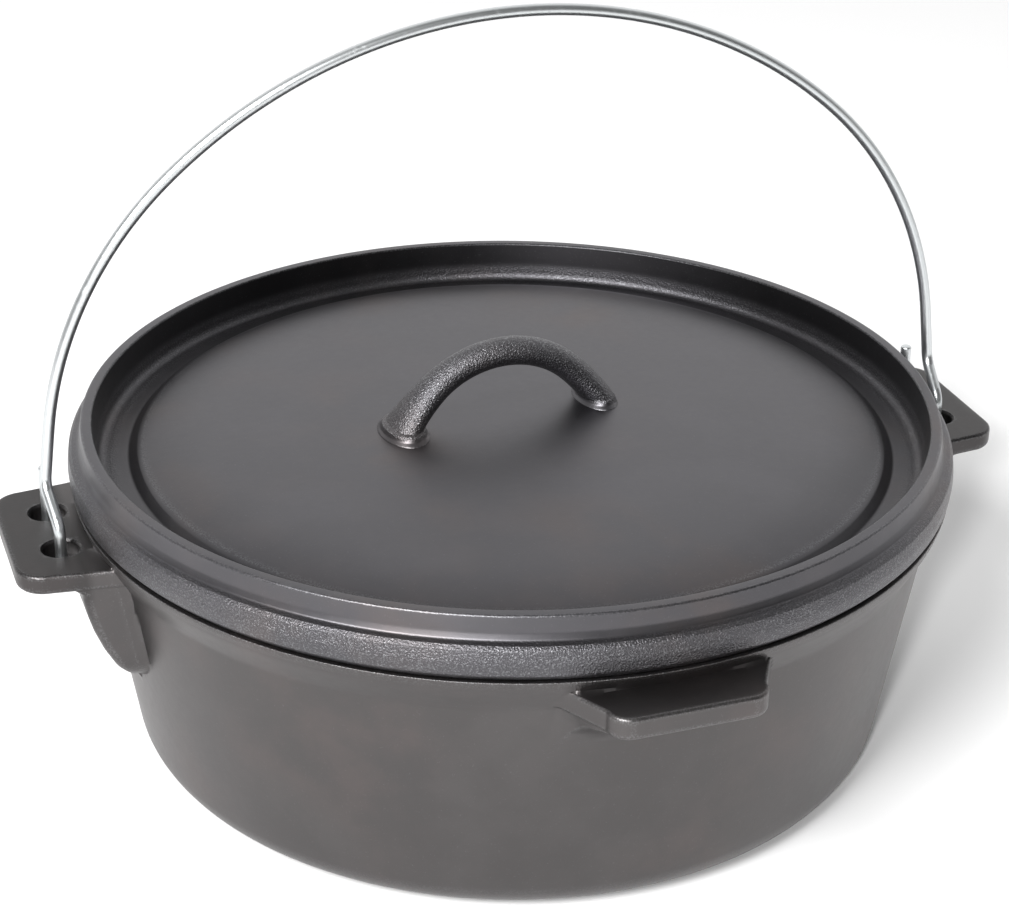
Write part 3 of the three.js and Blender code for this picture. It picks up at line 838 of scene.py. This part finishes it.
# ---- lid ----
def lid_outline(sizes):
    """The lid's section from the middle of its underside round the rim to the top of its dome."""
    seat, top = sizes.seat, sizes.top
    flange, ledge = sizes.flange_radius, sizes.seat + sizes.flange_height
    rim = sizes.rim_radius
    bore = rim - sizes.rim_wall
    channel = top - sizes.dish_depth
    under = channel - sizes.plate
    step = bore - CHANNEL_WIDTH
    lip = LIP_RADIUS
    radii = [share_out * step for share_out in np.linspace(0.0, 0.975, 40)]
    rise = [sizes.dome_rise * (1.0 - 0.25 * (r / step) ** 2 - 0.5 * (r / step) ** 8) for r in radii]
    return [
        *((r, under + up, 0.0) for r, up in zip(radii, rise)),
        (step - 1 * MM, under + 2.4 * MM, 2 * MM),
        (step + 2 * MM, under, 2 * MM),
        (lip - 4 * MM, seat - 0.2 * MM, 1.5 * MM),
        (lip - 3.6 * MM, seat - 3.6 * MM, 0.8 * MM),
        (lip - 0.4 * MM, seat - 3.6 * MM, 0.8 * MM),
        (lip, seat, 0.4 * MM),
        (flange - 2.6 * MM, seat, 0.6 * MM),
        (flange - 0.5 * MM, seat + 2.4 * MM, 2.0 * MM),
        (flange, seat + 6.5 * MM, 8 * MM),
        (flange - 0.6 * MM, ledge - 1.0 * MM, 0.8 * MM),
        (flange - 1.7 * MM, ledge + 0.1 * MM, 0.6 * MM),
        (rim + 1.7 * MM, ledge + 0.5 * MM, 1.8 * MM),
        (rim + 0.7 * MM, ledge + 3 * MM, 4 * MM),
        (rim, top, 1.0 * MM),
        (bore + 0.3 * MM, top, 0.9 * MM),
        (bore - 1.4 * MM, channel - 1.0 * MM, 3.4 * MM),
        (step + 1.4 * MM, channel - 0.4 * MM, 2.0 * MM),
        (step - 1.6 * MM, channel + 2.3 * MM, 2.6 * MM),
        *((r, channel + up, 0.0) for r, up in zip(radii[::-1], rise[::-1])),
    ]


def arc_points(start, radius, first, last, count):
    """Points in the XZ plane along an arc that leaves start downhill, its slope going from first to last."""
    points = []
    for slope in np.linspace(first, last, count + 1)[1:]:
        x = start[0] + radius * (math.sin(slope) - math.sin(first))
        z = start[2] - radius * (math.cos(first) - math.cos(slope))
        points.append((x, 0.0, z))
    return points


def handle_path(sizes, dome):
    """Centre line of the lid's handle from one foot to the other."""
    crown, steep = math.radians(43), math.radians(56)
    right = [(0.0, 0.0, dome + sizes.handle_rise)]
    right += arc_points(right[0], HANDLE_CROWN_ARC, 0.0, crown, 26)
    right += arc_points(right[-1], HANDLE_LEG_ARC, crown, steep, 14)
    x, _, z = right[-1]
    drop = z - dome + 1.5 * MM
    for share_down in (0.34, 0.67, 1.0):
        right.append((x + drop * share_down / math.tan(steep), 0.0, z - drop * share_down))
    left = [(-a, b, c) for a, b, c in reversed(right[1:])]
    return np.array(left + right)


def swept(path, section_at):
    """Rings of a body swept along a path in space. section_at(i) gives the points round station i."""
    ahead = np.gradient(path, axis=0)
    ahead /= np.linalg.norm(ahead, axis=1)[:, None]
    side = np.array([0.0, 1.0, 0.0])
    rings = []
    for i, (place, along) in enumerate(zip(path, ahead)):
        side = side - (side @ along) * along
        side /= np.linalg.norm(side)
        up = np.cross(along, side)
        across, over = section_at(i)
        rings.append(place + across[:, None] * side + over[:, None] * up)
    return np.array(rings)


def handle_mesh(sizes, dome):
    """The loop handle: an oval rod that widens down its legs."""
    path = handle_path(sizes, dome)
    turns = np.linspace(0.0, 2 * math.pi, HANDLE_SEGMENTS, endpoint=False)
    top = dome + sizes.handle_rise

    def section_at(i):
        down = min(1.0, max(0.0, (top - path[i][2]) / sizes.handle_rise))
        width = sizes.handle_width + (sizes.handle_foot - sizes.handle_width) * down**2
        thick = sizes.handle_thickness * (1.0 + 0.04 * down**3)
        return np.cos(turns) * width / 2, np.sin(turns) * thick / 2

    return grid_mesh(swept(path, section_at)), path


def foot_mesh(x, dome, sizes, margin):
    """The raised pad that a leg of the handle stands on, wider than the leg by the margin."""
    wide = sizes.handle_foot / 2 + 0.5 * margin
    thick = sizes.handle_thickness / 2 + 0.8 * MM + 0.6 * margin
    profile = [
        (wide - 9 * MM, dome - 2.5 * MM, 0.0),
        (wide + 2.2 * MM, dome - 2.5 * MM, 0.0),
        (wide + 1.2 * MM, dome + 0.0 * MM, 1 * MM),
        (wide, dome + 0.9 * MM, 1.2 * MM),
        (wide - 1.2 * MM, dome + 2.6 * MM, 1.5 * MM),
        (wide - 4.5 * MM, dome + 3.6 * MM, 1.5 * MM),
        (wide - 9 * MM, dome + 3.9 * MM, 0.0),
    ]
    body = turned_mesh(rounded_outline(profile, 5), 64)
    bmesh.ops.scale(body, verts=body.verts, vec=(thick / wide, 1.0, 1.0))
    bmesh.ops.translate(body, verts=body.verts, vec=(x, 0.0, 0.0))
    return body


# ---- bail ----
def bend_points(before, corner, after, radius):
    """Points of the rounded corner of a wire on its way from before to after."""
    before, corner, after = Vector(before), Vector(corner), Vector(after)
    into = (corner - before).normalized()
    out = (after - corner).normalized()
    turn = into.angle(out)
    start = corner - into * radius * math.tan(turn / 2)
    inward = (out - into * out.dot(into)).normalized()
    centre = start + inward * radius
    count = max(4, math.ceil(turn / math.radians(7)))
    points = []
    for step in range(count + 1):
        a = turn * step / count
        points.append(tuple(centre - inward * radius * math.cos(a) + into * radius * math.sin(a)))
    return points


def bail_path(sizes, pot):
    """Centre line of the wire from the tip of one hook to the tip of the other."""
    hole_x = pot.ear_tip - pot.hole_inset
    hole_y = pot.hole_spacing / 2
    ear_top = pot.height - pot.ear_drop
    half_wire = sizes.wire / 2
    low = BAIL_BOX[0].z + half_wire
    arch = [(0.0, 0.0, BAIL_BOX[1].z - half_wire)]
    arch += arc_points(arch[0], 1.092 * hole_x, 0.0, sizes.shoulder, 60)
    arch += arc_points(arch[-1], 0.828 * hole_x, sizes.shoulder, sizes.leg_angle, 50)
    x, _, z = arch[-1]
    run = sizes.leg
    bend = (x + run * math.cos(sizes.leg_angle), 0.0, z - run * math.sin(sizes.leg_angle))
    lower = (hole_x, -hole_y, ear_top + 7.5 * MM)
    front = (hole_x, -hole_y, low)
    back = (hole_x, hole_y, low)
    tip = (hole_x, hole_y, ear_top + 17.5 * MM)
    half = list(arch)
    half += bend_points(arch[-1], bend, lower, sizes.bend)
    half += bend_points(bend, lower, front, sizes.bend)
    half += bend_points(lower, front, back, sizes.hook_corner)
    half += bend_points(front, back, tip, sizes.hook_corner)
    half.append(tip)
    mirrored = [(-a, b, c) for a, b, c in reversed(half[1:])]
    return spaced_path(np.array(mirrored + half), 2.5 * MM)


def spaced_path(path, gap):
    """The same path with none of its points further apart than gap."""
    filled = [path[0]]
    for before, here in zip(path, path[1:]):
        count = max(1, math.ceil(np.linalg.norm(here - before) / gap))
        filled += [before + (here - before) * step / count for step in range(1, count + 1)]
    return np.array(filled)


def rounded_ends(path, radius):
    """Radii along a path that pull in at both ends, and the path with stations added for them."""
    ahead = (path[1] - path[0]) / np.linalg.norm(path[1] - path[0])
    last = (path[-2] - path[-1]) / np.linalg.norm(path[-2] - path[-1])
    turns = np.radians([12, 35, 58, 80])
    chamfer = 0.35 * radius
    pull = 1 - (1 - np.sin(turns)) * 0.4
    first = [path[0] + ahead * chamfer * (1 - math.cos(a)) for a in turns]
    final = [path[-1] + last * chamfer * (1 - math.cos(a)) for a in turns]
    middle = path[1:-1]
    radii = np.concatenate([radius * pull, np.full(len(middle), radius), radius * pull[::-1]])
    return np.vstack([first, middle, final[::-1]]), radii


def bail_mesh(sizes, pot):
    """The wire bail and its centre line, from which mark_wire finds how far along and around it each point
    lies, for the drawn streaks.
    """
    path, radii = rounded_ends(bail_path(sizes, pot), sizes.wire / 2)
    turns = np.linspace(0.0, 2 * math.pi, WIRE_SEGMENTS, endpoint=False)
    body = grid_mesh(swept(path, lambda i: (radii[i] * np.cos(turns), radii[i] * np.sin(turns))))
    return body, path


def mark_wire(mesh, path):
    """Writes the attributes along, in metres, and around, from -1 to 1 across the wire's front."""
    steps = np.concatenate([[0.0], np.cumsum(np.linalg.norm(np.diff(path, axis=0), axis=1))])
    ahead = np.gradient(path, axis=0)
    ahead /= np.linalg.norm(ahead, axis=1)[:, None]
    places = np.zeros(len(mesh.vertices) * 3)
    mesh.vertices.foreach_get("co", places)
    places = places.reshape(-1, 3)
    along = np.zeros(len(places), np.float32)
    around = np.zeros(len(places), np.float32)
    for i, place in enumerate(places):
        k = int(np.argmin(((path - place) ** 2).sum(axis=1)))
        off = place - path[k]
        along[i] = steps[k]
        around[i] = off[1] / max(np.linalg.norm(off), 1e-6)
    for name, values in (("along", along), ("around", around)):
        mesh.attributes.new(name, "FLOAT", "POINT").data.foreach_set("value", values)


# ---- operators ----
class DUTCHOVEN_OT_studio(bpy.types.Operator):
    """Make the camera, the lights and the floor"""

    bl_idname = "dutch_oven.studio"
    bl_label = "Studio"

    def execute(self, context):
        look = context.scene.studio_look
        self.add_camera(context, look)
        self.add_light("key_light", KEY_PLACE, KEY_SIZE, look.key)
        self.add_light("side_light", SIDE_PLACE, SIDE_SIZE, look.side)
        self.add_sky(context, look)
        self.add_floor(context, look)
        context.scene.view_settings.view_transform = "Standard"
        return {"FINISHED"}

    def add_camera(self, context, look):
        data = bpy.data.cameras.new("camera")
        data.lens = look.camera_lens
        data.sensor_width = SENSOR_WIDTH
        data.clip_end = CLIP_END
        camera = bpy.data.objects.new("camera", data)
        context.scene.collection.objects.link(camera)
        turn = Matrix.Rotation(-look.camera_heading, 4, "Z")
        tilt = Matrix.Rotation(math.pi / 2 - look.camera_pitch, 4, "X")
        roll = Matrix.Rotation(look.camera_roll, 4, "Z")
        camera.matrix_world = Matrix.Translation(look.camera_place) @ turn @ tilt @ roll
        context.scene.camera = camera

    def add_light(self, name, place, size, power):
        data = bpy.data.lights.new(name, "AREA")
        data.shape = "DISK"
        data.size = size
        data.energy = power
        light = bpy.data.objects.new(name, data)
        bpy.context.scene.collection.objects.link(light)
        light.location = place
        light.rotation_mode = "QUATERNION"
        light.rotation_quaternion = (Vector(LIGHT_AIM) - Vector(place)).to_track_quat("-Z", "Y")

    def add_sky(self, context, look):
        world = bpy.data.worlds.new("sky")
        world.use_nodes = True
        tree = world.node_tree
        back = tree.nodes["Background"]
        place = tree.nodes.new("ShaderNodeTexCoord")
        behind = tree.nodes.new("ShaderNodeVectorMath")
        behind.operation = "DOT_PRODUCT"
        behind.inputs[1].default_value = SKY_BACK
        fade = tree.nodes.new("ShaderNodeMapRange")
        fade.inputs["From Min"].default_value = SKY_FADE[0]
        fade.inputs["From Max"].default_value = SKY_FADE[1]
        fade.inputs["To Min"].default_value = look.sky_front
        fade.inputs["To Max"].default_value = look.sky
        tree.links.new(place.outputs["Generated"], behind.inputs[0])
        tree.links.new(behind.outputs["Value"], fade.inputs["Value"])
        tree.links.new(fade.outputs["Result"], back.inputs["Strength"])
        back.inputs["Color"].default_value = (1.0, 1.0, 1.0, 1.0)
        context.scene.world = world

    def add_floor(self, context, look):
        body = bmesh.new()
        bmesh.ops.create_grid(body, x_segments=8, y_segments=8, size=FLOOR_HALF)
        floor = new_piece("studio_floor", body, studio_floor(look))
        floor.location.z = -FLOOR_DROP


class DUTCHOVEN_OT_pot(bpy.types.Operator):
    """Make the cast pot with its ears, tabs and holes"""

    bl_idname = "dutch_oven.pot"
    bl_label = "Pot"

    def execute(self, context):
        scene = context.scene
        look = scene.finish_look
        iron = cast_iron("pot_iron", tuple(look.pot_colour), look, pot_sand, pot_shade)
        piece = new_piece("pot_casting", pot_mesh(scene.pot_sizes), iron)
        cut(piece, hole_cutters(scene.pot_sizes))
        piece.data.shade_smooth()
        piece.data.set_sharp_from_angle(angle=math.radians(40))
        mark_edges(piece.data)
        stands_for(piece, "pot")
        return {"FINISHED"}


class DUTCHOVEN_OT_lid(bpy.types.Operator):
    """Make the cast lid with its raised rim, dish and loop handle"""

    bl_idname = "dutch_oven.lid"
    bl_label = "Lid"

    def execute(self, context):
        scene = context.scene
        sizes, look = scene.lid_sizes, scene.finish_look
        iron = cast_iron("lid_iron", tuple(look.lid_colour), look, lid_sand, lid_shade)
        outline = spaced(rounded_outline(lid_outline(sizes), 6), 6 * MM)
        body = turned_mesh(outline[1:-1], LID_SEGMENTS)
        dome = sizes.top - sizes.dish_depth + sizes.dome_rise
        rod, path = handle_mesh(sizes, dome)
        reach = path[-1][0] - PAD_BACK
        right_foot = foot_mesh(reach, dome, sizes, RIGHT_PAD_MARGIN)
        left_foot = foot_mesh(-reach, dome, sizes, LEFT_PAD_MARGIN)
        parts = [rod, right_foot, left_foot]
        turn = Matrix.Translation((HANDLE_OFFSET, 0.0, 0.0))
        turn = turn @ Matrix.Rotation(math.radians(HANDLE_TURN), 4, "Z")
        for part in parts:
            part.transform(turn)
            copied = bpy.data.meshes.new("part")
            part.to_mesh(copied)
            part.free()
            body.from_mesh(copied)
            bpy.data.meshes.remove(copied)
        piece = new_piece("lid_casting", body, iron)
        mark_edges(piece.data)
        stands_for(piece, "lid")
        return {"FINISHED"}


class DUTCHOVEN_OT_bail(bpy.types.Operator):
    """Make the wire bail with its hooks"""

    bl_idname = "dutch_oven.bail"
    bl_label = "Bail"

    def execute(self, context):
        scene = context.scene
        body, path = bail_mesh(scene.bail_sizes, scene.pot_sizes)
        piece = new_piece("wire_bail", body, plated_wire(scene.finish_look), 50)
        mark_wire(piece.data, path)
        stands_for(piece, "bail")
        return {"FINISHED"}


class DUTCHOVEN_PT_panel(bpy.types.Panel):
    """Lists the oven's pieces and their sizes"""

    bl_idname = "DUTCHOVEN_PT_panel"
    bl_label = "Dutch Oven"
    bl_space_type = "VIEW_3D"
    bl_region_type = "UI"
    bl_category = "Dutch Oven"

    def draw(self, context):
        for operator in OPERATORS:
            self.layout.operator(operator.bl_idname)
        for name in GROUPS:
            box = self.layout.box()
            group = getattr(context.scene, name)
            box.label(text=name.replace("_", " ").capitalize())
            for key in group.bl_rna.properties.keys():
                if key not in ("rna_type", "name"):
                    box.prop(group, key)


GROUPS = {
    "pot_sizes": PotSizes,
    "lid_sizes": LidSizes,
    "bail_sizes": BailSizes,
    "finish_look": FinishLook,
    "studio_look": StudioLook,
}
OPERATORS = (DUTCHOVEN_OT_studio, DUTCHOVEN_OT_pot, DUTCHOVEN_OT_lid, DUTCHOVEN_OT_bail)
CLASSES = (*GROUPS.values(), *OPERATORS, DUTCHOVEN_PT_panel)


def register():
    for each in CLASSES:
        bpy.utils.register_class(each)
    for name, group in GROUPS.items():
        setattr(bpy.types.Scene, name, bpy.props.PointerProperty(type=group))


def unregister():
    for name in GROUPS:
        delattr(bpy.types.Scene, name)
    for each in reversed(CLASSES):
        bpy.utils.unregister_class(each)


def main():
    register()
    bpy.ops.dutch_oven.studio()
    bpy.ops.dutch_oven.pot()
    bpy.ops.dutch_oven.lid()
    bpy.ops.dutch_oven.bail()


if __name__ == "__main__":
    main()
